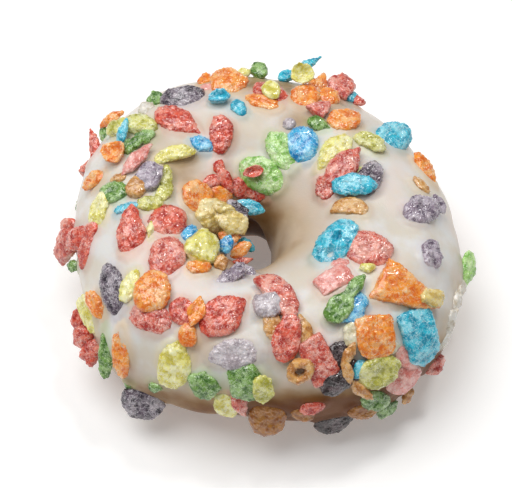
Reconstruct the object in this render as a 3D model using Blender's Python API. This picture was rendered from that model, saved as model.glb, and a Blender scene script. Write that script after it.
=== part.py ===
"""A frosted ring doughnut topped with flakes of puffed rice, at real size.

Metres, +Z up. The doughnut rests on the plane z = 0 with its hole upright, and the side
that the photograph shows lowest faces -Y. Two bodies touch but do not meet: the fried
dough, and the icing that coats it and carries the flakes.

Places on the ring are two angles. "around" turns about the hole, from +X towards +Y.
"across" turns about the section of the tube: 0 is the outermost point, 90 degrees the
crest, 180 degrees the wall of the hole.
"""

import math
import random
from collections import namedtuple

import bmesh
import bpy
from mathutils import Matrix, Vector

MM = 0.001

# The ring, measured over the icing
RING_CENTRE = Vector((-0.2, -1.3)) * MM
OUTER_RADIUS = 44.0 * MM
HOLE_OFFSET = Vector((-2.8, -4.1)) * MM
HOLE_HALF_WIDTH = 5.6 * MM
HOLE_HALF_LENGTH = 7.2 * MM
MIDDLE_HEIGHT = 15.0 * MM
CREST_HEIGHT = 33.0 * MM
BELLY_DROP = 17.25 * MM
# The hand-shaped outline: lobes, share of the radius, and the direction of one lobe
OUTLINE_WAVES = (
    (2, 0.039, math.radians(-46)),
    (3, 0.033, math.radians(-15)),
    (4, 0.024, math.radians(-44)),
)

# Icing and dough
ICING_DEPTH = 2.2 * MM
ICING_EDGE_DEPTH = 0.9 * MM
# The icing's lining is made of flat facets, which reach 0.5 mm deeper than its corners
CLEARANCE = 0.3 * MM
FACET_DEPTH = 0.5 * MM
ICING_LOW_EDGE = math.radians(-27)
ICING_LOW_EDGE_WAVE = math.radians(5)
ICING_HOLE_EDGE = math.radians(197)
ICING_HOLE_EDGE_WAVE = math.radians(6)
EDGE_TAPER = math.radians(16)
STEPS_AROUND = 36
ICING_STEPS_OUTSIDE = 11
ICING_STEPS_INSIDE = 8
DOUGH_STEPS_ACROSS = 18

# The view in which the flakes were placed by eye: a picture taken from the front and above
VIEW_ELEVATION = math.radians(55.8)
VIEW_DISTANCE = 350.0 * MM
VIEW_TARGET_HEIGHT = 16.0 * MM
PIXELS_PER_METRE = 4448.0
TARGET_PIXEL_X = 264.2
TARGET_PIXEL_Y = 242.5

# How near the ring the search along a line of sight starts, and its pace
SEARCH_REACH = 60.0 * MM
SEARCH_STEP = 0.25 * MM
SEARCH_STEPS = 480

# Flakes
SMALLEST_SOLID_FLAKE = 4.6 * MM
SIMPLE_FLAKE_LENGTH = 7.7 * MM
SIMPLE_FLAKE_SIDES, SIMPLE_FLAKE_ROWS = 6, 3
LARGE_FLAKE_SIDES, LARGE_FLAKE_ROWS = 8, 4
FLAKE_THICKNESS = 2.3 * MM
PUFF_THICKNESS_SHARE = 0.62
GRAIN_THICKNESS_SHARE = 0.55
UNEVENNESS = 0.05
TOP_UNEVENNESS = 0.06
# Outline lobes of each kind, and their share of the flake's half width
LOBES = {"chip": (3, 0.16), "puff": (5, 0.10)}
PLAIN_LOBES = (2, 0.06)
LEAF_TIP_NARROWING = 0.45
CUP_RISE_SHARE = 0.30
# A flake's foot sinks at least and at most this far; its middle stands this far out
FLAKE_LEAST_SINK = 0.5 * MM
FLAKE_SINK = 1.0 * MM
FLAKE_STAND = 0.5 * MM
STACKING_SHARE = 0.6
# Flakes on steep icing stand up from it, towards the viewer
LEAST_TURN_TO_VIEW = 0.25
STEEP_TURN_TO_VIEW = 1.3

# The far side, which the picture doesn't show
HIDDEN_FLAKES = 28
HIDDEN_SEED = 11
HIDDEN_AROUND = (12, 172)
HIDDEN_ACROSS = (-22, 30)
HIDDEN_LENGTHS = (5.0, 12.0)
HIDDEN_WIDTH_SHARES = (0.45, 0.8)
HIDDEN_TILT = 0.25
HIDDEN_SPACING_SHARE = 0.46
HIDDEN_TRIES = 60
HIDDEN_KINDS = ("oval", "oval", "leaf", "cup", "chip")
HIDDEN_COLOURS = ("red", "red", "orange", "yellow", "green", "teal", "purple", "pink", "lime", "blue")

# kind, pixel place in that picture, length and width in mm, direction seen (degrees from
# the right, anticlockwise), and how far it is lifted by the flake below it in mm
Flake = namedtuple("Flake", "kind x y long wide lies lift", defaults=(0.0,))
FLAKES = {
    "red": [
        Flake("leaf", 178, 122, 12.0, 6.0, -25), Flake("oval", 221, 134, 9.2, 5.6, 85),
        Flake("leaf", 95, 138, 4.6, 2.0, -65), Flake("oval", 97, 156, 6.6, 3.4, 80),
        Flake("chip", 221, 177, 6.6, 4.0, 110), Flake("cup", 271, 95, 8.4, 6.0, -30),
        Flake("oval", 317, 109, 5.0, 3.4, 10), Flake("chip", 342, 84, 6.8, 5.8, 50),
        Flake("grain", 356, 101, 4.0, 2.6, -15), Flake("leaf", 343, 166, 12.8, 5.4, 32, 0.8),
        Flake("chip", 327, 188, 6.8, 4.8, 100), Flake("grain", 254, 171, 4.4, 3.0, 10, 2.0),
        Flake("chip", 256, 194, 6.0, 3.4, -20), Flake("oval", 131, 235, 12.4, 5.8, 85),
        Flake("oval", 169, 217, 8.6, 6.8, 0), Flake("oval", 168, 252, 10.0, 8.4, -70),
        Flake("chip", 66, 248, 8.6, 5.2, 75), Flake("oval", 66, 228, 5.0, 4.2, 30),
        Flake("leaf", 86, 244, 9.0, 3.0, 78), Flake("chip", 368, 249, 10.6, 8.4, -15),
        Flake("oval", 76, 320, 5.2, 3.4, 70), Flake("oval", 82, 340, 6.0, 4.6, 80),
        Flake("oval", 94, 351, 6.0, 4.4, 60), Flake("chip", 150, 318, 9.4, 6.4, -15),
        Flake("oval", 181, 312, 6.8, 5.2, -70), Flake("oval", 225, 314, 11.6, 9.0, 25),
        Flake("leaf", 280, 292, 12.2, 6.6, -50, 0.6), Flake("leaf", 287, 338, 11.0, 5.8, 80, 0.6),
        Flake("chip", 320, 361, 11.4, 7.6, -60), Flake("oval", 433, 364, 5.6, 4.6, 30),
        Flake("leaf", 241, 408, 6.6, 3.8, -70), Flake("oval", 319, 413, 5.6, 3.6, 0),
    ],
    "pink": [
        Flake("grain", 208, 90, 3.8, 2.2, 0), Flake("leaf", 139, 160, 10.2, 4.0, 52, 0.5),
        Flake("oval", 334, 279, 9.6, 5.8, 18), Flake("chip", 403, 380, 8.2, 6.0, 50),
        Flake("grain", 340, 265, 4.6, 2.6, 10), Flake("grain", 315, 404, 3.8, 2.6, 0),
    ],
    "orange": [
        Flake("chip", 228, 83, 9.6, 6.6, -25, 0.5), Flake("grain", 205, 81, 3.4, 3.2, 0),
        Flake("leaf", 110, 117, 7.2, 3.0, 30), Flake("cup", 114, 154, 6.2, 5.0, 100),
        Flake("leaf", 93, 182, 7.0, 3.2, 25), Flake("oval", 197, 196, 8.0, 7.2, -50),
        Flake("grain", 222, 195, 4.6, 3.0, -20), Flake("oval", 257, 101, 8.0, 5.0, -30),
        Flake("grain", 314, 74, 2.6, 2.2, 80), Flake("oval", 306, 99, 7.0, 4.6, 10),
        Flake("chip", 322, 79, 5.4, 3.6, 80), Flake("oval", 330, 99, 5.6, 5.0, 0),
        Flake("cup", 343, 118, 8.0, 5.0, 5, 0.4), Flake("cup", 425, 170, 9.0, 4.2, -65),
        Flake("oval", 229, 239, 4.4, 2.6, 0), Flake("oval", 240, 252, 5.2, 3.2, 20, 0.5),
        Flake("puff", 199, 266, 5.6, 3.6, 0), Flake("chip", 404, 288, 15.6, 9.4, -10, 0.8),
        Flake("leaf", 95, 305, 7.0, 3.0, -60), Flake("leaf", 123, 352, 10.2, 3.2, 85),
        Flake("oval", 153, 292, 9.6, 8.0, 80, 0.9), Flake("leaf", 197, 313, 6.4, 3.4, 75),
        Flake("puff", 189, 335, 4.6, 4.6, 0), Flake("oval", 274, 329, 4.8, 4.6, 0),
        Flake("grain", 293, 316, 3.6, 3.0, 0), Flake("leaf", 305, 331, 7.0, 3.2, -70),
        Flake("ring", 299, 372, 6.0, 5.8, 0, 0.8), Flake("puff", 376, 338, 9.4, 8.0, 10, 0.5),
        Flake("cup", 352, 372, 11.6, 4.0, -68), Flake("chip", 365, 410, 5.6, 5.0, 0),
        Flake("chip", 267, 420, 9.0, 8.2, 90), Flake("grain", 407, 393, 4.6, 2.4, 80),
    ],
    "tan": [
        Flake("grain", 152, 111, 3.8, 2.4, 50), Flake("puff", 136, 189, 4.8, 4.2, 0),
        Flake("oval", 350, 207, 8.6, 3.8, 0), Flake("grain", 221, 264, 3.8, 3.2, 70),
        Flake("puff", 218, 219, 8.0, 6.2, -15),
    ],
    "yellow": [
        Flake("leaf", 175, 154, 9.6, 3.2, 15), Flake("grain", 243, 72, 4.2, 3.0, 10),
        Flake("oval", 137, 126, 6.8, 4.8, 20), Flake("grain", 118, 123, 3.6, 3.4, 0),
        Flake("chip", 272, 92, 4.8, 4.6, 20, 1.6), Flake("oval", 301, 75, 4.6, 4.0, 0),
        Flake("leaf", 334, 151, 11.0, 5.8, 48), Flake("leaf", 98, 210, 10.0, 4.2, 78),
        Flake("grain", 151, 229, 4.2, 1.8, 80), Flake("grain", 367, 266, 3.2, 2.2, 0, 0.8),
        Flake("puff", 204, 250, 8.6, 7.8, 30, 0.9), Flake("oval", 130, 282, 6.8, 3.8, 70),
        Flake("leaf", 90, 316, 9.6, 4.8, -60), Flake("oval", 173, 366, 11.2, 8.2, 85),
        Flake("oval", 226, 405, 7.6, 4.8, -75), Flake("oval", 355, 332, 4.8, 4.6, 0),
    ],
    "lime": [
        Flake("leaf", 166, 184, 8.4, 3.0, 80), Flake("puff", 154, 202, 5.2, 4.4, 20),
        Flake("oval", 371, 142, 7.4, 4.2, -25, 1.2), Flake("grain", 354, 172, 3.8, 2.0, 0),
        Flake("ring", 383, 374, 8.2, 8.0, 80), Flake("oval", 264, 389, 6.8, 4.6, 90, 1.2),
        Flake("leaf", 470, 273, 8.6, 3.4, 80),
    ],
    "green": [
        Flake("grain", 155, 101, 2.8, 2.8, 0), Flake("oval", 259, 71, 4.4, 4.0, 80),
        Flake("grain", 106, 134, 4.0, 2.4, 95), Flake("cup", 137, 145, 9.0, 4.0, 38),
        Flake("oval", 117, 192, 5.2, 4.6, 20), Flake("oval", 319, 124, 4.8, 3.4, -10),
        Flake("leaf", 282, 153, 10.8, 5.8, -65), Flake("oval", 262, 176, 10.2, 6.6, -30),
        Flake("grain", 73, 264, 2.8, 2.6, 0), Flake("leaf", 109, 350, 12.4, 2.8, 88),
        Flake("cup", 203, 386, 6.6, 6.0, 0), Flake("chip", 246, 384, 9.4, 7.6, -60),
        Flake("leaf", 338, 305, 10.6, 4.2, 50, 0.8), Flake("oval", 379, 402, 8.4, 5.2, -20),
    ],
    "blue": [
        Flake("grain", 203, 145, 6.2, 3.2, -10), Flake("oval", 302, 144, 8.6, 7.6, -70, 0.6),
        Flake("grain", 127, 209, 6.4, 2.4, 12), Flake("ring", 227, 248, 3.4, 3.0, 0, 0.6),
        Flake("grain", 194, 237, 3.2, 2.8, 0), Flake("ring", 335, 242, 13.6, 7.8, 45, 0.6),
    ],
    "teal": [
        Flake("grain", 219, 102, 5.2, 3.0, 0), Flake("grain", 239, 109, 4.8, 3.2, 100),
        Flake("leaf", 124, 134, 7.0, 2.4, 78, 1.0), Flake("oval", 288, 77, 5.0, 3.4, 30),
        Flake("leaf", 310, 66, 6.0, 1.9, 35), Flake("grain", 354, 89, 3.0, 2.6, 0),
        Flake("chip", 396, 138, 9.2, 7.6, -20), Flake("oval", 355, 185, 9.8, 4.8, 5, 1.0),
        Flake("grain", 246, 209, 5.4, 2.8, 0), Flake("grain", 246, 247, 3.2, 3.0, 0),
        Flake("leaf", 353, 313, 6.4, 3.4, 50), Flake("chip", 419, 337, 13.0, 9.0, -70),
        Flake("grain", 361, 370, 4.0, 2.4, 80),
    ],
    "purple": [
        Flake("leaf", 183, 97, 10.4, 4.8, 12), Flake("cup", 149, 177, 7.6, 6.2, 60, 0.5),
        Flake("oval", 373, 172, 5.6, 4.6, 60), Flake("grain", 376, 190, 3.4, 3.2, 0),
        Flake("cup", 421, 208, 8.8, 6.8, 15), Flake("oval", 431, 254, 6.2, 4.2, -80),
        Flake("grain", 235, 211, 4.6, 3.4, -40), Flake("cup", 236, 275, 8.4, 3.8, -15),
        Flake("oval", 113, 288, 11.8, 6.2, -70), Flake("cup", 234, 355, 10.4, 6.0, -5),
        Flake("puff", 143, 402, 9.6, 8.2, -10), Flake("oval", 266, 307, 6.4, 6.0, 0),
        Flake("oval", 337, 355, 5.0, 3.6, 80), Flake("oval", 335, 381, 6.6, 5.0, 20),
        Flake("oval", 332, 421, 8.2, 5.6, 30), Flake("grain", 289, 124, 2.8, 2.4, 0),
    ],
}
FLAKE_COLOURS = {
    "red": (0.62, 0.12, 0.09), "pink": (0.72, 0.27, 0.23), "orange": (0.80, 0.30, 0.06),
    "tan": (0.62, 0.36, 0.13), "yellow": (0.80, 0.68, 0.20), "lime": (0.48, 0.55, 0.13),
    "green": (0.17, 0.40, 0.08), "blue": (0.05, 0.36, 0.66), "teal": (0.06, 0.36, 0.46),
    "purple": (0.24, 0.19, 0.25),
}


def clear_scene():
    for thing in list(bpy.data.objects):
        bpy.data.objects.remove(thing, do_unlink=True)


def material(name, colour, roughness):
    made = bpy.data.materials.new(name)
    made.use_nodes = True
    made.diffuse_color = (*colour, 1)
    shader = made.node_tree.nodes["Principled BSDF"]
    shader.inputs["Base Color"].default_value = (*colour, 1)
    shader.inputs["Roughness"].default_value = roughness
    shader.inputs["Metallic"].default_value = 0.0
    return made


def section(around):
    """The radius of the tube's middle, and its half width, in the direction around."""
    toward = Vector((math.cos(around), math.sin(around)))
    hole = 1 / math.hypot(toward.x / HOLE_HALF_WIDTH, toward.y / HOLE_HALF_LENGTH)
    back = HOLE_OFFSET.dot(toward)
    outer = -back + math.sqrt(back ** 2 - HOLE_OFFSET.length_squared + OUTER_RADIUS ** 2)
    for lobes, share, direction in OUTLINE_WAVES:
        outer += OUTER_RADIUS * share * math.cos(lobes * (around - direction))
    return toward, (outer + hole) / 2, (outer - hole) / 2


def ring_point(around, across, depth=0.0):
    """A point of the ring's skin, or one that lies depth below it."""
    toward, middle, half_width = section(around)
    radius = middle + (half_width - depth) * math.cos(across)
    rise = math.sin(across)
    if rise > 0:
        height = MIDDLE_HEIGHT + (CREST_HEIGHT - MIDDLE_HEIGHT - depth) * rise
    else:
        height = MIDDLE_HEIGHT + (BELLY_DROP - depth / 3) * rise
    place = RING_CENTRE + HOLE_OFFSET + toward * radius
    return Vector((place.x, place.y, max(height, 0.0)))


def ring_normal(around, across):
    step = 0.002
    along = ring_point(around + step, across) - ring_point(around - step, across)
    over = ring_point(around, across + step) - ring_point(around, across - step)
    return along.cross(over).normalized()


def ring_place(point):
    """How far a point stands out of the ring's skin, and the two angles nearest to it."""
    flat = point.xy - RING_CENTRE - HOLE_OFFSET
    around = math.atan2(flat.y, flat.x)
    _, middle, half_width = section(around)
    rise = point.z - MIDDLE_HEIGHT
    half_height = CREST_HEIGHT - MIDDLE_HEIGHT if rise > 0 else BELLY_DROP
    sideways = flat.length - middle
    level = math.hypot(sideways / half_width, rise / half_height)
    out = (level - 1) / max(level, 0.01) * math.hypot(sideways, rise)
    return out, around, math.atan2(rise / half_height, sideways / half_width)


def band(name, rings):
    """A closed band from rings of points, each ring one section of the ring's tube."""
    mesh = bmesh.new()
    loops = [[mesh.verts.new(point) for point in ring] for ring in rings]
    for loop, following in zip(loops, loops[1:] + loops[:1]):
        for i in range(len(loop)):
            j = (i + 1) % len(loop)
            mesh.faces.new((loop[i], following[i], following[j], loop[j]))
    bmesh.ops.recalc_face_normals(mesh, faces=mesh.faces)
    return as_object(name, mesh)


def as_object(name, mesh):
    data = bpy.data.meshes.new(name)
    mesh.to_mesh(data)
    mesh.free()
    data.shade_smooth()
    made = bpy.data.objects.new(name, data)
    bpy.context.scene.collection.objects.link(made)
    return made


def spread(start, stop, steps):
    return [start + (stop - start) * i / steps for i in range(steps + 1)]


def make_dough():
    depth = ICING_DEPTH + FACET_DEPTH + CLEARANCE
    rings = []
    for i in range(STEPS_AROUND):
        around = math.tau * i / STEPS_AROUND
        angles = [math.tau * j / DOUGH_STEPS_ACROSS for j in range(DOUGH_STEPS_ACROSS)]
        rings.append([ring_point(around, a, depth) for a in angles])
    dough = band("dough", rings)
    dough.data.materials.append(material("fried_dough", (0.42, 0.20, 0.07), 0.75))
    return dough


def icing_edges(around):
    low = ICING_LOW_EDGE + ICING_LOW_EDGE_WAVE * math.sin(3 * around + 1.0)
    low += 0.5 * ICING_LOW_EDGE_WAVE * math.sin(7 * around)
    inner = ICING_HOLE_EDGE + ICING_HOLE_EDGE_WAVE * math.sin(2 * around + 0.6)
    return low, inner


def make_icing():
    """The icing's shell: outside from its low edge over the crest into the hole, and back."""
    rings = []
    for i in range(STEPS_AROUND):
        around = math.tau * i / STEPS_AROUND
        low, inner = icing_edges(around)
        ring = []
        for across in spread(low, inner, ICING_STEPS_OUTSIDE):
            from_edge = min(across - low, inner - across)
            thinned = max(0.0, 1 - from_edge / EDGE_TAPER) ** 2
            ring.append(ring_point(around, across, ICING_EDGE_DEPTH * thinned))
        for across in spread(inner, low, ICING_STEPS_INSIDE):
            ring.append(ring_point(around, across, ICING_DEPTH))
        rings.append(ring)
    icing = band("icing", rings)
    icing.data.materials.append(material("icing", (0.78, 0.68, 0.53), 0.35))
    return icing


def view_axes():
    """The picture's right, its up, the way the viewer looks, and the point looked at."""
    right = Vector((1, 0, 0))
    up = Vector((0, math.sin(VIEW_ELEVATION), math.cos(VIEW_ELEVATION)))
    look = Vector((0, math.cos(VIEW_ELEVATION), -math.sin(VIEW_ELEVATION)))
    target = Vector((RING_CENTRE.x, RING_CENTRE.y, VIEW_TARGET_HEIGHT))
    return right, up, look, target


def seen_place(x, y):
    """Where the line of sight through a pixel meets the ring, or passes nearest to it."""
    right, up, look, target = view_axes()
    eye = target - look * VIEW_DISTANCE
    aim = target + right * (x - TARGET_PIXEL_X) / PIXELS_PER_METRE
    aim -= up * (y - TARGET_PIXEL_Y) / PIXELS_PER_METRE
    sight = (aim - eye).normalized()
    nearest = None
    for i in range(SEARCH_STEPS):
        point = eye + sight * (VIEW_DISTANCE - SEARCH_REACH + i * SEARCH_STEP)
        out, around, across = ring_place(point)
        if nearest is None or out < nearest[0]:
            nearest = (out, around, across, point)
        if out <= 0:
            break
    return nearest


def flake_axes(normal, lies, turn_to_eye):
    """The flake's length, width and outward directions, from the way it is seen to lie."""
    right, up, look, _ = view_axes()
    outward = (normal - look * turn_to_eye).normalized()
    seen = right * math.cos(lies) + up * math.sin(lies)
    steep = look.dot(outward)
    slant = -seen.dot(outward) / steep if abs(steep) > 0.05 else 0.0
    length = seen + look * max(-1.5, min(1.5, slant))
    length = (length - outward * length.dot(outward)).normalized()
    return length, outward.cross(length), outward


def shape_flake(kind, long, wide, dice):
    """One flake about its own centre: length along X, width along Y, outward along Z."""
    sides, rows = LARGE_FLAKE_SIDES, LARGE_FLAKE_ROWS
    if long < SIMPLE_FLAKE_LENGTH:
        sides, rows = SIMPLE_FLAKE_SIDES, SIMPLE_FLAKE_ROWS
    mesh = bmesh.new()
    bmesh.ops.create_uvsphere(mesh, u_segments=sides, v_segments=rows, radius=1.0)
    shares = {"puff": PUFF_THICKNESS_SHARE, "grain": GRAIN_THICKNESS_SHARE}
    thick = shares[kind] * wide if kind in shares else FLAKE_THICKNESS
    lobes, lobe_depth = LOBES.get(kind, PLAIN_LOBES)
    turn = dice.uniform(0, math.tau)
    for vert in mesh.verts:
        x, y, z = vert.co
        angle = math.atan2(y, x)
        grow = 1 + lobe_depth * math.cos(lobes * angle + turn)
        grow += dice.uniform(-UNEVENNESS, UNEVENNESS)
        x, y = x * grow, y * grow
        if kind == "leaf":
            y *= 1.12 - LEAF_TIP_NARROWING * x * x
        z = z * thick / 2
        if kind == "cup":
            z += CUP_RISE_SHARE * wide * (y * y - 0.4)
        elif kind == "ring" and abs(x) + abs(y) < 0.3 and z > 0:
            z *= 0.2
        z += dice.uniform(-TOP_UNEVENNESS, TOP_UNEVENNESS) * thick
        vert.co = (x * long / 2, y * wide / 2, z)
    return mesh


def place_flake(mesh, centre, axes, normal):
    """Turns a flake into place, sinks its foot in the icing, and keeps it off the dough."""
    length, width, outward = axes
    turn = Matrix((length, width, outward)).transposed().to_4x4()
    bmesh.ops.transform(mesh, matrix=Matrix.Translation(centre) @ turn, verts=mesh.verts)
    lowest = min(ring_place(vert.co)[0] for vert in mesh.verts)
    if lowest > -FLAKE_LEAST_SINK:
        bmesh.ops.translate(mesh, vec=-normal * (lowest + FLAKE_LEAST_SINK), verts=mesh.verts)
    for vert in mesh.verts:
        out, around, across = ring_place(vert.co)
        if out < -FLAKE_SINK:
            vert.co += ring_normal(around, across) * (-FLAKE_SINK - out)


def seen_flakes():
    """The flakes that the picture shows, the largest first."""
    listed = [(colour, flake) for colour, rows in FLAKES.items() for flake in rows]
    listed.sort(key=lambda pair: -pair[1].long * pair[1].wide)
    return listed


def make_seen_flakes(paints):
    made = []
    for number, (colour, flake) in enumerate(seen_flakes()):
        if flake.long * MM < SMALLEST_SOLID_FLAKE:
            continue
        dice = random.Random(number)
        _, around, across, point = seen_place(flake.x, flake.y)
        normal = ring_normal(around, across)
        look = view_axes()[2]
        facing = max(0.0, -normal.dot(look))
        centre = point + normal * (flake.lift * MM * STACKING_SHARE + FLAKE_STAND)
        turn = LEAST_TURN_TO_VIEW + STEEP_TURN_TO_VIEW * (1 - facing) ** 2
        axes = flake_axes(normal, math.radians(flake.lies), turn)
        mesh = shape_flake(flake.kind, flake.long * MM, flake.wide * MM, dice)
        place_flake(mesh, centre, axes, normal)
        made.append(as_object(f"flake_{len(made):03d}", mesh))
        made[-1].data.materials.append(paints[colour])
    return made


def make_hidden_flakes(paints, first_number):
    """Flakes on the far side, which no picture shows, strewn like the rest."""
    dice = random.Random(HIDDEN_SEED)
    sizes = sorted((dice.uniform(*HIDDEN_LENGTHS) for _ in range(HIDDEN_FLAKES)), reverse=True)
    kept, made = [], []
    for long in sizes:
        for _ in range(HIDDEN_TRIES):
            around = math.radians(dice.uniform(*HIDDEN_AROUND))
            across = math.radians(dice.uniform(*HIDDEN_ACROSS))
            point = ring_point(around, across)
            room = [(long + size) * HIDDEN_SPACING_SHARE * MM for _, size in kept]
            if all((point - other).length > gap for (other, _), gap in zip(kept, room)):
                break
        else:
            continue
        kept.append((point, long))
        normal = ring_normal(around, across)
        sideways = Vector((-math.sin(around), math.cos(around), 0))
        heading = Matrix.Rotation(dice.uniform(0, math.pi), 3, normal) @ sideways
        tilt = Matrix.Rotation(dice.uniform(-HIDDEN_TILT, HIDDEN_TILT), 3, heading)
        outward = tilt @ normal
        kind = dice.choice(HIDDEN_KINDS)
        wide = long * dice.uniform(*HIDDEN_WIDTH_SHARES)
        mesh = shape_flake(kind, long * MM, wide * MM, dice)
        axes = (heading, outward.cross(heading).normalized(), outward)
        place_flake(mesh, point + normal * FLAKE_STAND, axes, normal)
        made.append(as_object(f"flake_{first_number + len(made):03d}", mesh))
        made[-1].data.materials.append(paints[dice.choice(HIDDEN_COLOURS)])
    return made


def fuse(body, pieces):
    """One union of the body with all the pieces, without sealed hollows or loose scraps."""
    group = bpy.data.collections.new("flakes")
    bpy.context.scene.collection.children.link(group)
    for piece in pieces:
        group.objects.link(piece)
        bpy.context.scene.collection.objects.unlink(piece)
    union = body.modifiers.new("flakes", "BOOLEAN")
    union.operation = "UNION"
    union.operand_type = "COLLECTION"
    union.collection = group
    union.solver = "EXACT"
    union.material_mode = "TRANSFER"
    bpy.context.view_layer.objects.active = body
    bpy.ops.object.modifier_apply(modifier=union.name)
    for piece in pieces:
        bpy.data.objects.remove(piece, do_unlink=True)
    bpy.data.collections.remove(group)
    keep_largest_shell(body)


def keep_largest_shell(body):
    mesh = bmesh.new()
    mesh.from_mesh(body.data)
    left = set(mesh.faces)
    shells = []
    while left:
        shell, front = [], [left.pop()]
        while front:
            face = front.pop()
            shell.append(face)
            beside = {other for edge in face.edges for other in edge.link_faces}
            front.extend(beside & left)
            left -= beside
        shells.append(shell)
    shells.sort(key=len)
    scraps = [face for shell in shells[:-1] for face in shell]
    bmesh.ops.delete(mesh, geom=scraps, context="FACES")
    mesh.to_mesh(body.data)
    mesh.free()


def main():
    clear_scene()
    make_dough()
    icing = make_icing()
    paints = {name: material(f"{name}_flake", colour, 0.6) for name, colour in FLAKE_COLOURS.items()}
    flakes = make_seen_flakes(paints)
    flakes += make_hidden_flakes(paints, len(flakes))
    fuse(icing, flakes)


main()
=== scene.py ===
# %% [markdown]
# # A frosted ring doughnut with puffed rice flakes
#
# The real thing is a ring of fried dough, dipped in cream-coloured sugar icing and, while
# the icing was wet, strewn with crisp flakes of coloured puffed rice. This notebook dresses
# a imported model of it: the dough, the icing and every flake get their real surface here.
#
# Lengths are metres, +Z is up and the camera looks along +Y. Places on the ring are two
# angles. "around" turns about the hole from +X towards +Y. "across" turns about the section
# of the tube: 0 is the outermost point, 90 degrees the crest, 180 degrees the hole's wall.

# %% Load the frame
import math
import random
from collections import namedtuple
from functools import partial

import bmesh
import bpy
import numpy as np
from mathutils import Matrix, Vector
from mathutils import noise as mathutils_noise
from mathutils.kdtree import KDTree


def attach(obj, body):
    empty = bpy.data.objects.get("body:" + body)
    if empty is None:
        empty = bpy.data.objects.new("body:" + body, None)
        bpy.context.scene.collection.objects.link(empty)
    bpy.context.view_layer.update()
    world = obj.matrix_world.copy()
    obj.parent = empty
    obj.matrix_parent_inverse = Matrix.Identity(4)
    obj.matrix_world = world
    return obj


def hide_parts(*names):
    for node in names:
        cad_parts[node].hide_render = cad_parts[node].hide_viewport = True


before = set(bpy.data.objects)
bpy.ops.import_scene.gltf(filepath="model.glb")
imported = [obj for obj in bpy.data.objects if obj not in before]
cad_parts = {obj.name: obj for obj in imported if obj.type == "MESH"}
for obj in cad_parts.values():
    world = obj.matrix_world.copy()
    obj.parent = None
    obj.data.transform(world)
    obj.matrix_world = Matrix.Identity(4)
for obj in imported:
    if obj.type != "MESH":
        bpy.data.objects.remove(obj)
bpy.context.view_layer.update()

MM = 0.001

# %% [markdown]
# ## The camera
#
# The photograph was taken from the front, 56 degrees above the table. A camera can be placed
# by eye, but here its height, distance and lens were fitted to the ring's outline and to the
# hole, so they are written as the values that were found. The sideways shift is the small
# one that the photograph's own framing needs.

# %% Camera
VIEW_ELEVATION = math.radians(55.8)
VIEW_DISTANCE = 350.0 * MM
VIEW_TARGET = Vector((-0.2 * MM, -1.3 * MM, 16.0 * MM))
PIXELS_PER_METRE = 4448.0
TARGET_PIXEL_X, TARGET_PIXEL_Y = 264.2, 242.5
PICTURE_WIDTH, PICTURE_HEIGHT = 512, 488
SENSOR_WIDTH = 36.0

view_right = Vector((1, 0, 0))
view_up = Vector((0, math.sin(VIEW_ELEVATION), math.cos(VIEW_ELEVATION)))
view_look = Vector((0, math.cos(VIEW_ELEVATION), -math.sin(VIEW_ELEVATION)))
eye = VIEW_TARGET - view_look * VIEW_DISTANCE

bpy.ops.object.select_all(action="DESELECT")
bpy.ops.object.camera_add(location=eye)
camera = bpy.context.object
camera.name = "view_camera"
camera.rotation_euler = Matrix((view_right, view_up, -view_look)).transposed().to_euler()
camera.data.sensor_width = SENSOR_WIDTH
camera.data.lens = PIXELS_PER_METRE * VIEW_DISTANCE / PICTURE_WIDTH * SENSOR_WIDTH
camera.data.shift_x = (PICTURE_WIDTH / 2 - TARGET_PIXEL_X) / PICTURE_WIDTH
camera.data.shift_y = (TARGET_PIXEL_Y - PICTURE_HEIGHT / 2) / PICTURE_WIDTH
bpy.context.scene.camera = camera
print("lens, mm:", round(camera.data.lens, 1))

# %% [markdown]
# ## The form of the ring
#
# A torus would be too perfect: a hand-shaped ring has a lobed outline, a hole off its centre
# and a flat foot. It could be sculpted, but every other piece has to know where the skin is,
# so the form is a formula instead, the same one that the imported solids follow. All places on
# the dough, the icing and the flakes are worked out from it.

# %% Ring form
RING_CENTRE = np.array([-0.2, -1.3]) * MM
OUTER_RADIUS = 44.0 * MM
HOLE_OFFSET = np.array([-2.8, -4.1]) * MM
HOLE_HALF_WIDTH, HOLE_HALF_LENGTH = 5.6 * MM, 7.2 * MM
MIDDLE_HEIGHT, CREST_HEIGHT, BELLY_DROP = 15.0 * MM, 33.0 * MM, 17.25 * MM
OUTLINE_WAVES = ((2, 0.039, math.radians(-46)), (3, 0.033, math.radians(-15)),
                 (4, 0.024, math.radians(-44)))


def section(around):
    """The tube's middle radius and half width in the directions around."""
    x, y = np.cos(around), np.sin(around)
    hole = 1 / np.hypot(x / HOLE_HALF_WIDTH, y / HOLE_HALF_LENGTH)
    back = HOLE_OFFSET[0] * x + HOLE_OFFSET[1] * y
    outer = -back + np.sqrt(back ** 2 - HOLE_OFFSET @ HOLE_OFFSET + OUTER_RADIUS ** 2)
    for lobes, share, direction in OUTLINE_WAVES:
        outer = outer + OUTER_RADIUS * share * np.cos(lobes * (around - direction))
    return (outer + hole) / 2, (outer - hole) / 2


def ring_point(around, across, depth=0.0):
    """Points of the ring's skin, or points that lie depth below it."""
    middle, half_width = section(around)
    radius = middle + (half_width - depth) * np.cos(across)
    rise = np.sin(across)
    high = (CREST_HEIGHT - MIDDLE_HEIGHT - depth) * rise
    low = (BELLY_DROP - depth / 3) * rise
    height = np.maximum(MIDDLE_HEIGHT + np.where(rise > 0, high, low), 0.0)
    x = RING_CENTRE[0] + HOLE_OFFSET[0] + np.cos(around) * radius
    y = RING_CENTRE[1] + HOLE_OFFSET[1] + np.sin(around) * radius
    return np.stack([x, y, height], axis=-1)


# %% [markdown]
# The way back is needed as well: which way the skin faces at a place, and how far a point
# stands out of it. The first is the cross product of two small steps along the skin. The
# second compares the point with the skin on a line from the middle of the tube.

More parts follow.
